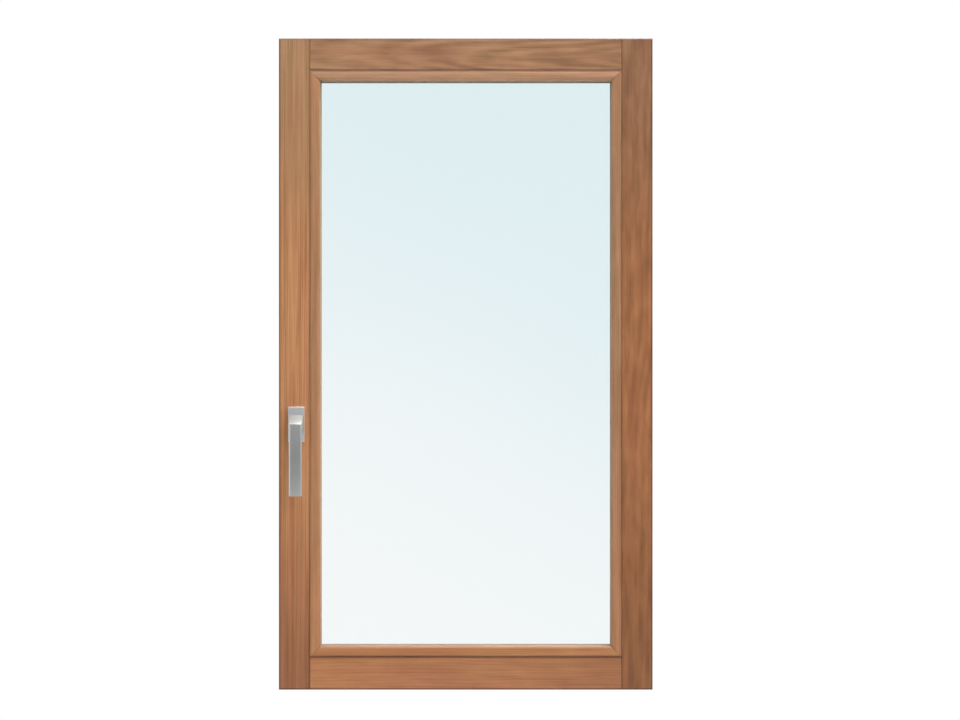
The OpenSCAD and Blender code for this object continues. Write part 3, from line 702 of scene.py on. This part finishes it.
def perforation_tree():
    """A small slot at every pitch along each line of the path."""
    tree, given = node_tree("slots along a line", (
        ("Path", "Geometry"), ("Slot", "Object"), ("Pitch", "Float"), ("Finish", "Material")))
    line = add(tree, "GeometryNodeMeshToCurve", {0: given["Path"]}).outputs[0]
    even = add(tree, "GeometryNodeResampleCurve", {"Curve": line, "Length": given["Pitch"]},
               mode="LENGTH").outputs[0]
    points = add(tree, "GeometryNodeCurveToPoints", {"Curve": even}, mode="EVALUATED")
    facing = add(tree, "FunctionNodeAlignRotationToVector", {
        "Vector": points.outputs["Tangent"]}, axis="Z", pivot_axis="Y").outputs[0]
    shape = add(tree, "GeometryNodeObjectInfo", {"Object": given["Slot"]}).outputs["Geometry"]
    placed = add(tree, "GeometryNodeInstanceOnPoints", {
        "Points": points.outputs["Points"], "Instance": shape, "Rotation": facing}).outputs[0]
    close_tree(tree, placed, given["Finish"])
    return tree


def spacer_slots(finish):
    """The breathing slots in the spacer's sight face, on the middle line of each tube, as thin dark
    patches that paint the shade inside each slot.
    """
    low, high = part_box("spacer_tubes")
    y = (low.y + high.y) / 2
    tube, proud = 7 * MM, 0.02 * MM
    inset = tube + proud
    end = 40 * MM
    x0, x1, z0, z1 = low.x + inset, high.x - inset, low.z + inset, high.z - inset
    ends = [((x0, y, z0 + end), (x0, y, z1 - end)), ((x1, y, z0 + end), (x1, y, z1 - end)),
            ((x0 + end, y, z0), (x1 - end, y, z0)), ((x0 + end, y, z1), (x1 - end, y, z1))]
    path = bpy.data.meshes.new("slot lines")
    path.from_pydata([p for pair in ends for p in pair], [(0, 1), (2, 3), (4, 5), (6, 7)], [])
    deep, wide, long = 0.04 * MM, 0.3 * MM, 0.9 * MM
    section = ((-deep, -wide), (deep, -wide), (deep, wide), (-deep, wide))
    loops = [[(u, v, z) for u, v in section] for z in (-long, long)]
    slot_shape = new_piece("slot shape", *bridged(loops), [])
    piece = grown("spacer_slots", path, perforation_tree(),
                  {"Slot": slot_shape, "Pitch": 6 * MM, "Finish": finish})
    bpy.data.objects.remove(slot_shape)
    hand_over(piece, "sash", "spacer_metal")


def dress_glazing():
    """The panes, and what holds, seals and spaces them."""
    glass = clear_glass()
    edge = ground_edge()
    pane("pane_inner", glass, edge)
    pane("pane_outer", glass, edge)
    mill = drawn_metal("mill aluminium", (206, 208, 212), (170, 173, 178), "Z", 0.38)
    dress("spacer_tubes", mill)
    spacer_slots(moulded("slot shadow", (38, 38, 40), (22, 22, 24), 0.8))
    dress("spacer_corners", moulded("corner key plastic", (104, 104, 108), (84, 84, 88), 0.5))
    dress("desiccant", beads_of_desiccant())
    dress("edge_sealant", moulded("edge sealant", (44, 44, 47), (26, 26, 28), 0.55, 300.0, 0.4))
    dress("setting_blocks", moulded("setting block plastic", (74, 82, 82), (54, 62, 62), 0.45))
    dress("location_blocks", moulded("location block plastic", (72, 104, 152), (54, 84, 130), 0.45))
    foam = moulded("glazing tape", (216, 208, 192), (198, 190, 172), 0.8, 700.0, 0.5)
    dress("glazing_tape_inner", foam)
    dress("glazing_tape_outer", foam)


def brads(tree, finish):
    """Panel pins through the beads, with their heads just proud of the wood."""
    head, shank, length = 1.1 * MM, 0.7 * MM, 34 * MM
    profile = [(0.25 * MM, 0), (0.85 * MM, 0.02 * MM), (head, -0.12 * MM), (head, -0.5 * MM),
               (shank, -0.8 * MM), (shank, -length), (0.08 * MM, -length - 1.2 * MM)]
    nail = new_piece("brad shape", *turned(profile, (0, 0, 0), UP, segments=16), [], 35)
    left, right, bottom, top = bead_boxes()
    y = left[0].y + (left[1].y - left[0].y) * 0.55
    tall = left[1].z - left[0].z
    wide = bottom[1].x - bottom[0].x
    proud = 0.05 * MM
    in_upright, in_level = 4, 3
    spots = []
    for k in range(in_upright):
        z = left[0].z + tall * (k + 0.5) / in_upright
        spots.append((Vector((left[1].x + proud, y, z)), RIGHTWARDS))
        spots.append((Vector((right[0].x - proud, y, z)), -RIGHTWARDS))
    for k in range(in_level):
        x = bottom[0].x + wide * (k + 0.5) / in_level
        spots.append((Vector((x, y, bottom[1].z + proud)), UP))
        spots.append((Vector((x, y, top[0].z - proud)), -UP))
    place_fixings("bead_pins", tree, nail, spots, finish, 3, "bead_brads")


# ---- gasket
def gasket():
    """The soft seal in the back of the flange: a barbed stem and a round bulb."""
    low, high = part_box("sash_gasket")
    start = low.y
    flange = 18 * MM
    bulb = flange + ROOM_FACE
    outer_barbs = [(1.3, 0), (4.7, 0), (4.9, 1.2), (4.4, 1.5), (4.9, 2.7), (4.4, 3.0), (4.5, 4.6)]
    inner_barbs = [(1.6, 4.6), (1.6, 3.0), (1.1, 2.7), (1.6, 1.5), (1.1, 1.2)]
    outline = [(u * MM, start + d * MM) for u, d in outer_barbs]
    outline += [(3.05 * MM + x, bulb + y) for x, y in arc((0, 0), 3 * MM, 5, 175, 14)]
    outline += [(u * MM, start + d * MM) for u, d in inner_barbs]
    loops = []
    for sx, sz in ((0, 0), (1, 0), (1, 1), (0, 1)):
        loops.append([Vector(((high.x - u) if sx else (low.x + u), y,
                              (high.z - u) if sz else (low.z + u))) for u, y in outline])
    rubber = moulded("gasket rubber", (128, 88, 62), (104, 70, 48), 0.55, 900.0, 0.2)
    piece = new_piece("gasket_seal", *bridged(loops, closed=True), [rubber])
    hand_over(piece, "sash", "gasket", "sash_gasket")


# ---- handle
def lever_outline(front, top, low, tip, back, thick):
    """Side outline of the lever as (out, height), cut where its width starts to change."""
    bend = 12 * MM
    flare_end, bevel_start = front - thick - 6 * MM, front - 2.6 * MM
    slope_out, slope_low = back + 7 * MM, 1.4 * MM

    def slope(out):
        return top + (slope_low - top) * (out - slope_out) / (front - slope_out)

    middle = (front - thick - bend, low - bend)
    cut = math.degrees(math.acos((flare_end - middle[0]) / bend))
    lower_arc = arc(middle, bend, 0, cut, 8)
    upper_arc = arc(middle, bend, cut, 90, 6)
    neck = [(back, low), (back, top), (slope_out, top), (flare_end, slope(flare_end))] + upper_arc
    grip = [(flare_end, slope(flare_end)), (bevel_start, slope(bevel_start)), (bevel_start, tip),
            (front - thick, tip)] + lower_arc
    face = [(bevel_start, slope(bevel_start)), (front, slope_low), (front, tip), (bevel_start, tip)]
    return neck, grip, face


def lever_shell(half_width):
    """The lever's own form: a flared neck, a sloping top and a flat grip with bevelled sides."""
    front, back, thick = 56 * MM, 11.5 * MM, 12 * MM
    top, low, tip = 17 * MM, -14 * MM, -133 * MM
    parts = lever_outline(front, top, low, tip, back, thick)
    verts = []
    index = {}

    def point(out, height, side):
        key = (round(out, 7), round(height, 7), side)
        if key not in index:
            index[key] = len(verts)
            across = RIGHTWARDS * side * half_width(out)
            verts.append(SPINDLE + ROOMWARDS * out + UP * height + across)
        return index[key]

    faces = [[point(out, h, side) for out, h in part] for side in (-1, 1) for part in parts]
    rim = {}
    for part in parts:
        for a, b in zip(part, part[1:] + part[:1]):
            ka, kb = [(round(p[0], 7), round(p[1], 7)) for p in (a, b)]
            if (kb, ka) in rim:
                del rim[(kb, ka)]
            else:
                rim[(ka, kb)] = (a, b)
    for a, b in rim.values():
        faces.append([point(*a, -1), point(*b, -1), point(*b, 1), point(*a, 1)])
    return verts, faces


def lever(steel):
    """The lever with its turned journal, which runs in the rosette's base."""
    grip, root, foot = 12 * MM, 14.25 * MM, 11.5 * MM
    flare, flare_length, bevel_start = 2.25 * MM, 26.5 * MM, 53.4 * MM

    def half_width(out):
        if out > bevel_start:
            return grip - (out - bevel_start)
        return max(grip, root - flare * (out - foot) / flare_length)

    body = softened(new_piece("lever form", *lever_shell(half_width), [steel]), 0.5 * MM)
    journal = [(0.5, 1.3), (7.6, 1.3), (8, 1.7), (8, 4.9), (7.1, 4.95), (7.1, 6.2), (8, 6.25),
               (8, 8.4), (7.6, 8.8), (7.6, 9.2), (8, 9.6), (8, 12.4), (0.5, 12.4)]
    shaft = new_piece("lever journal", *turned([(r * MM, h * MM) for r, h in journal],
                                               SPINDLE, ROOMWARDS), [steel], 35)
    piece = merged("lever_handle", body, shaft)
    hand_over(piece, "handle", "satin_steel", "lever")


def merged(name, *pieces):
    """Several pieces as one object with one plain mesh."""
    work = bmesh.new()
    for piece in pieces:
        work.from_mesh(piece.data)
    mesh = bpy.data.meshes.new(name)
    work.to_mesh(mesh)
    work.free()
    for material in pieces[0].data.materials:
        mesh.materials.append(material)
    for piece in pieces:
        bpy.data.objects.remove(piece)
    return in_scene(name, mesh)


def rosette_cover(steel):
    """The pressed cover: softly rounded rim, a hole for the lever, hollow behind."""
    low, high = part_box("rosette_cover")
    width, height, depth = high.x - low.x, high.z - low.z, high.y - low.y
    wall, rim, hole, corner = 1.2 * MM, 0.9 * MM, 8.3 * MM, 1.6 * MM
    steps = 4
    loops = []

    def put(outline, out):
        loops.append([Vector((SPINDLE.x + x, ROOM_FACE - out, SPINDLE.z + z)) for x, z in outline])

    put(rounded_loop(width, height, corner), 0)
    for i in range(steps + 1):
        a = math.pi / 2 * i / steps
        shrink = 2 * rim * (1 - math.cos(a))
        put(rounded_loop(width - shrink, height - shrink, max(corner - shrink / 2, 0.4 * MM)),
            depth - rim + rim * math.sin(a))
    spokes = [math.atan2(z, x) for x, z in rounded_loop(width, height, corner)]

    def circle(radius):
        return [(radius * math.cos(a), radius * math.sin(a)) for a in spokes]

    put(circle(hole + 0.3 * MM), depth)
    put(circle(hole), depth - 0.3 * MM)
    put(circle(hole), depth - wall)
    inner = rounded_loop(width - 2 * wall, height - 2 * wall, 1.0 * MM)
    put(inner, depth - wall)
    put(inner, 0)
    piece = new_piece("rosette_shell", *bridged(loops, closed=True), [steel], 35)
    hand_over(piece, "sash", "satin_steel", "rosette_cover")


def handle_works(tree, zinc):
    """The lever's washer, and the screws under the cover."""
    nylon = moulded("black nylon", (40, 40, 42), (28, 28, 30), 0.35)
    washer = [(8.3, 11.1), (8.3, 11.42), (8.5, 11.5), (11.8, 11.5), (12, 11.42), (12, 11.2),
              (11.9, 11.1)]
    piece = new_piece("lever_washer", *turned([(r * MM, h * MM) for r, h in washer], SPINDLE,
                                              ROOMWARDS, closed=True), [nylon])
    hand_over(piece, "handle", "washer_plastic", "bearing_washer")
    low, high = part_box("handle_screws")
    spots = spots_of("handle_screws", SPINDLE.x, low.y, ROOMWARDS)
    machine_screw = screw("handle screw shape", 4.95 * MM, 2.48 * MM, high.y - low.y, 0, 2.6 * MM,
                          0.8 * MM, 22 * MM)
    place_fixings("rosette_screws", tree, machine_screw, spots, zinc, 5, "handle_screws")


def spring_tree():
    """Two coil springs, one above and one below the lever's journal."""
    tree, given = node_tree("pair of coil springs", (
        ("Turns", "Float"), ("Coil radius", "Float"), ("Wire radius", "Float"),
        ("Length", "Float"), ("Middle", "Vector"), ("Start", "Float"), ("Finish", "Material")))
    coil = add(tree, "GeometryNodeCurveSpiral", {
        "Resolution": 18, "Rotations": given["Turns"], "Start Radius": given["Coil radius"],
        "End Radius": given["Coil radius"], "Height": given["Length"]}).outputs[0]
    wire = add(tree, "GeometryNodeCurvePrimitiveCircle", {
        "Resolution": 8, "Radius": given["Wire radius"]}).outputs[0]
    solid = add(tree, "GeometryNodeCurveToMesh", {
        "Curve": coil, "Profile Curve": wire, "Fill Caps": True}).outputs[0]
    lift = add(tree, "ShaderNodeCombineXYZ", {"Z": given["Start"]}).outputs[0]
    upper = add(tree, "GeometryNodeTransform", {"Geometry": solid, "Translation": lift}).outputs[0]
    lower = add(tree, "GeometryNodeTransform", {
        "Geometry": upper, "Rotation": (math.pi, 0, 0)}).outputs[0]
    pair = tree.nodes.new("GeometryNodeJoinGeometry")
    tree.links.new(upper, pair.inputs[0])
    tree.links.new(lower, pair.inputs[0])
    placed = add(tree, "GeometryNodeTransform", {
        "Geometry": pair.outputs[0], "Translation": given["Middle"]}).outputs[0]
    close_tree(tree, placed, given["Finish"])
    return tree


def detents(steel):
    """The balls that click into the journal and the coil springs behind them."""
    low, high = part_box("detent_springs")
    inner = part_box("detent_balls")[1].z + 0.1 * MM - SPINDLE.z
    middle = (low + high) / 2
    wire = 0.22 * MM
    piece = grown("click_springs", bpy.data.meshes.new("springs"), spring_tree(), {
        "Turns": 5.0, "Coil radius": (high.x - low.x) / 2 - wire, "Wire radius": wire,
        "Length": high.z - SPINDLE.z - inner - 2 * wire, "Middle": middle, "Start": inner + wire,
        "Finish": steel})
    piece.data.shade_smooth()
    hand_over(piece, "sash", "spring_steel", "detent_springs")
    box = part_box("detent_balls")
    radius = (box[1].x - box[0].x) / 2
    steps = 16
    turns = [math.pi * i / steps for i in range(steps + 1)]
    profile = [(max(radius * math.sin(a), 0.02 * MM), radius - radius * math.cos(a)) for a in turns]
    balls = []
    for foot, axis in ((Vector((middle.x, middle.y, box[1].z)), -UP),
                       (Vector((middle.x, middle.y, box[0].z)), UP)):
        balls.append(turned(profile, foot, axis, segments=24))
    piece = new_piece("click_balls", *join_shells(*balls), [steel], 60)
    hand_over(piece, "sash", "spring_steel", "detent_balls")


# ---- edge bolt
def locking_points(tree, zinc):
    """Mushroom pins on the drive rod and the rollers that turn on them."""
    low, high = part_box("cam_pins")
    heights = [sum(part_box("cam_roller_" + n), Vector()).z / 2 for n in ("low", "mid", "high")]
    y = (low.y + high.y) / 2
    length = high.x - low.x
    profile = [(0.3, 0), (3.4, 0), (3.7, 0.15), (3.8, 0.4), (3.8, 1.0), (3.6, 1.2), (3, 1.2),
               (3, 8.7), (3.8, 8.7), (3.8, 10.9), (3.0, 10.9), (3.0, length / MM - 0.25),
               (2.7, length / MM), (0.3, length / MM)]
    pin = new_piece("pin shape", *turned([(r * MM, -h * MM) for r, h in profile], (0, 0, 0), UP,
                                         segments=40), [])
    spots = [(Vector((low.x, y, z)), -RIGHTWARDS) for z in heights]
    place_fixings("mushroom_pins", tree, pin, spots, zinc, 7, "cam_pins", "drive")
    for name in ("low", "mid", "high"):
        node = "cam_roller_" + name
        low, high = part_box(node)
        wide = high.x - low.x
        outer, inner = (high.z - low.z) / 2, 3.05 * MM
        round_off, lead_in = 0.5 * MM, 0.3 * MM
        ring = [(inner, 0.25 * MM), (inner + lead_in, 0), (outer - round_off, 0), (outer, round_off),
                (outer, wide - round_off), (outer - round_off, wide), (inner + lead_in, wide),
                (inner, wide - 0.25 * MM)]
        foot = Vector((low.x, (low.y + high.y) / 2, (low.z + high.z) / 2))
        piece = new_piece(node + "_ring", *turned(ring, foot, RIGHTWARDS, closed=True), [zinc])
        hand_over(piece, "roller_" + name, "zinc_steel", node)


def bolt_fixings(tree, zinc):
    """Countersunk screws through the faceplate, and the rivets of the gear case."""
    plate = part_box("faceplate")
    y = (plate[0].y + plate[1].y) / 2
    face = plate[0].x + 0.02 * MM
    head, shank, head_depth = 3.65 * MM, 1.98 * MM, 1.7 * MM
    wood_screw = screw("plate screw shape", head, shank, 30 * MM, 6 * MM, head_depth)
    case_screw = screw("case screw shape", head, shank, 16 * MM, 0, head_depth, 0.8 * MM)
    for name, shape, seed, node in (("faceplate_screws", wood_screw, 11, "plate_screws"),
                                    ("gear_case_screws", case_screw, 13, "case_screws")):
        place_fixings(name, tree, shape, spots_of(node, face, y, -RIGHTWARDS), zinc, seed, node)
    low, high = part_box("case_rivets")
    thick = high.y - low.y
    profile = [(0.6, 0), (1.3, 0), (1.5, 0.2), (1.5, thick / MM - 0.2), (1.3, thick / MM),
               (0.6, thick / MM)]
    rivet = new_piece("rivet shape", *turned([(r * MM, -h * MM) for r, h in profile], (0, 0, 0), UP,
                                             segments=24), [])
    spots = spots_of("case_rivets", (low.x + high.x) / 2, low.y, ROOMWARDS)
    place_fixings("gear_case_rivets", tree, rivet, spots, zinc, 17, "case_rivets")


def dress_hardware(zinc):
    """Frame nodes of the bolt and the handle that keep their shape."""
    cast = cast_metal("die-cast zinc", (168, 170, 174), (132, 134, 138))
    sintered = cast_metal("oiled sintered steel", (150, 144, 128), (112, 106, 92))
    rod = drawn_metal("zinc plated strip", (198, 200, 202), (164, 166, 170), "Z", 0.34)
    dress("faceplate", zinc)
    dress("drive_rod", rod)
    dress("gear_case_front", cast)
    dress("gear_case_back", cast)
    dress("follower", sintered)
    dress("rosette_base", moulded("base plastic", (72, 72, 74), (54, 54, 56), 0.5))
    dress("retaining_ring", drawn_metal("spring steel", (126, 126, 130), (92, 92, 96), "X", 0.35))
    dress("spindle", drawn_metal("drawn square steel", (170, 171, 173), (138, 139, 142), "Y", 0.3))
    dress("spindle_pin", drawn_metal("pin steel", (176, 177, 179), (142, 143, 146), "X", 0.25))


# ---- studio
def soft_light(name, place, width, height, power, mirrored):
    """A rectangular lamp aimed at the sash's middle; one that isn't mirrored leaves no
    reflection on glass or metal."""
    lamp = bpy.data.lights.new(name, "AREA")
    lamp.shape = "RECTANGLE"
    lamp.size = width
    lamp.size_y = height
    lamp.energy = power
    holder = in_scene(name, lamp)
    holder.location = place
    holder.rotation_euler = (MIDDLE - place).to_track_quat("-Z", "Y").to_euler()
    holder.visible_camera = False
    holder.visible_glossy = mirrored


def studio():
    """White surroundings, and soft light from above right."""
    world = bpy.data.worlds.new("studio")
    bpy.context.scene.world = world
    world.use_nodes = True
    tree = world.node_tree
    tree.nodes.clear()
    direction = add(tree, "ShaderNodeTexCoord").outputs["Generated"]
    toward = split(tree, direction)
    upper = fade(tree, toward["Z"], -0.1, 0.7, 0.0, 0.45)
    beside = fade(tree, toward["Y"], -0.95, -0.6, 0.12, 0.32)
    behind = maths(tree, "ADD", maths(tree, "ADD", toward["X"], toward["Y"]),
                   maths(tree, "MULTIPLY", toward["Z"], 1.5))
    behind = fade(tree, behind, 0.5, 1.3, 0.0, 0.6)
    leftmost = fade(tree, toward["X"], -0.95, -0.5, 0.7, 0.0)
    level = maths(tree, "ADD", maths(tree, "ADD", upper, beside), maths(tree, "ADD", behind, leftmost))
    lit = add(tree, "ShaderNodeBackground", {"Color": (1.0, 1.0, 1.0, 1), "Strength": level}).outputs[0]
    seen = add(tree, "ShaderNodeBackground", {"Color": (1, 1, 1, 1), "Strength": 1.0}).outputs[0]
    straight = add(tree, "ShaderNodeLightPath").outputs["Is Camera Ray"]
    both = add(tree, "ShaderNodeMixShader", {0: straight, 1: lit, 2: seen}).outputs[0]
    add(tree, "ShaderNodeOutputWorld", {"Surface": both})

    for name, offset, width, height, power, mirrored in (
            ("overhead", (0.4, -0.45, 2.6), 1.6, 1.0, 75, True),
            ("front", (1.0, -3.4, 1.7), 1.3, 1.3, 26, False),
            ("right", (2.6, -1.7, 0.7), 1.2, 1.8, 20, False),
            ("back", (1.2, 2.4, 2.0), 1.6, 1.6, 90, True)):
        soft_light(name, MIDDLE + Vector(offset), width, height, power, mirrored)


def pale_floor():
    """A round plate well below the sash."""
    radius, thick, drop = 1.1, 0.03, 0.16
    edge = 12 * MM
    profile = [(0.01, -thick), (radius, -thick), (radius, -edge), (radius - edge, 0), (0.01, 0)]
    foot = Vector((MIDDLE.x, 0, FOOT - drop))
    floor = new_piece("floor", *turned(profile, foot, UP, segments=96), [])
    material, tree, shader, place = new_material("pale floor")
    set_inputs(tree, shader, {
        "Base Color": blend(tree, clouds(tree, place, 3.0), (0.78, 0.78, 0.77, 1),
                            (0.84, 0.84, 0.83, 1)),
        "Roughness": 0.7})
    floor.data.materials.append(material)


def camera():
    """Square on to the sash from the room, from far enough for hardly any perspective."""
    lens = bpy.data.cameras.new("camera")
    lens.sensor_width = 36.0
    lens.lens = 160.2
    lens.clip_end = 100.0
    away, aside, above = 8.0, 26.7 * MM, 7.6 * MM
    holder = in_scene("camera", lens)
    holder.location = (MIDDLE.x + aside, ROOM_FACE - away, MIDDLE.z + above)
    holder.rotation_euler = (math.radians(90), 0, 0)
    bpy.context.scene.camera = holder


def build():
    bpy.context.scene.view_settings.view_transform = "Standard"
    studio()
    pale_floor()
    camera()
    dress_timber()
    glazing_beads()
    dress_glazing()
    gasket()
    zinc = zinc_plate("zinc plate", (204, 205, 207), (206, 200, 184))
    fixing = placing_tree()
    brads(fixing, zinc)
    lever(drawn_metal("satin lever steel", (199, 202, 200), (185, 189, 187), "Z", 0.5))
    rosette_cover(drawn_metal("satin cover steel", (224, 226, 228), (212, 215, 218), "Z", 0.46,
                              metallic=0.75))
    handle_works(fixing, zinc)
    detents(drawn_metal("drawn spring wire", (150, 150, 154), (118, 118, 122), "Z", 0.28))
    locking_points(fixing, zinc)
    bolt_fixings(fixing, zinc)
    dress_hardware(zinc)


build()
